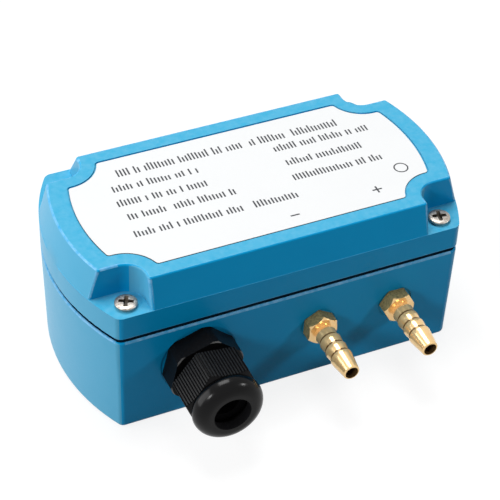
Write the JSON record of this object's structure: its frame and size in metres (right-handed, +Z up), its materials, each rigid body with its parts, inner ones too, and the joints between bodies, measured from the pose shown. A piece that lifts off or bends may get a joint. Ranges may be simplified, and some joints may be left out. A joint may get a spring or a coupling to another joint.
{
  "type": "differential pressure transmitter",
  "caption": "Blue die-cast box with a bowed-end screwed cover, white plate, black ribbed cable gland and brass barbed hose fittings on its front wall.",
  "frame": {"origin": "centre of the flat underside of the housing", "axes": "+X along the long side of the housing, +Y to the back wall, +Z up; the cable gland and the hose fittings leave the front wall towards -Y"},
  "size_m": [0.1314, 0.0983, 0.0567],
  "materials": {
    "blue_paint": "satin",
    "white_plate": "satin",
    "stainless": "bright",
    "black_nylon": "moulded",
    "black_rubber": "matt",
    "brass": "turned",
    "silicone": "satin",
    "green_laminate": "satin",
    "sensor_case": "matt",
    "green_terminal": "matt",
    "trimmer_blue": "satin",
    "black_moulding": "matt",
    "capacitor_can": "satin"
  },
  "bodies": {
    "housing": {"base_housing": "blue_paint", "cover": "blue_paint", "cover_gasket": "black_rubber", "name_plate": "white_plate", "cover_screws": "stainless", "gland_body": "black_nylon", "gland_o_ring": "black_rubber", "gland_seal": "black_rubber", "gland_lock_nut": "black_nylon", "port_fitting_low": "brass", "port_fitting_high": "brass", "fitting_nut_low": "brass", "fitting_nut_high": "brass", "tube_low": "silicone", "tube_high": "silicone", "circuit_board": "green_laminate", "board_screws": "stainless", "pressure_sensor": "sensor_case", "terminal_block": "green_terminal", "terminal_screws": "stainless", "zero_trimmer": "trimmer_blue", "span_trimmer": "trimmer_blue", "signal_chip": "black_moulding", "loop_transistor": "black_moulding", "filter_capacitor": "capacitor_can"},
    "clamping_nut": {"gland_nut": "black_nylon"},
    "zero_adjuster": {"zero_trimmer_screw": "brass"},
    "span_adjuster": {"span_trimmer_screw": "brass"}
  },
  "joints": [
    {"name": "gland_nut_turn", "type": "hinge", "parent": "housing", "child": "clamping_nut", "pos_m": [-0.0311, -0.045, 0.0213], "axis": [0, -1, 0], "range_deg": [0, 450]},
    {"name": "zero_turn", "type": "hinge", "parent": "housing", "child": "zero_adjuster", "pos_m": [-0.00805, 0.012, 0.0148], "axis": [0, 0, 1], "range_deg": [-135, 135]},
    {"name": "span_turn", "type": "hinge", "parent": "housing", "child": "span_adjuster", "pos_m": [0.00295, 0.012, 0.0148], "axis": [0, 0, 1], "range_deg": [-135, 135]}
  ]
}
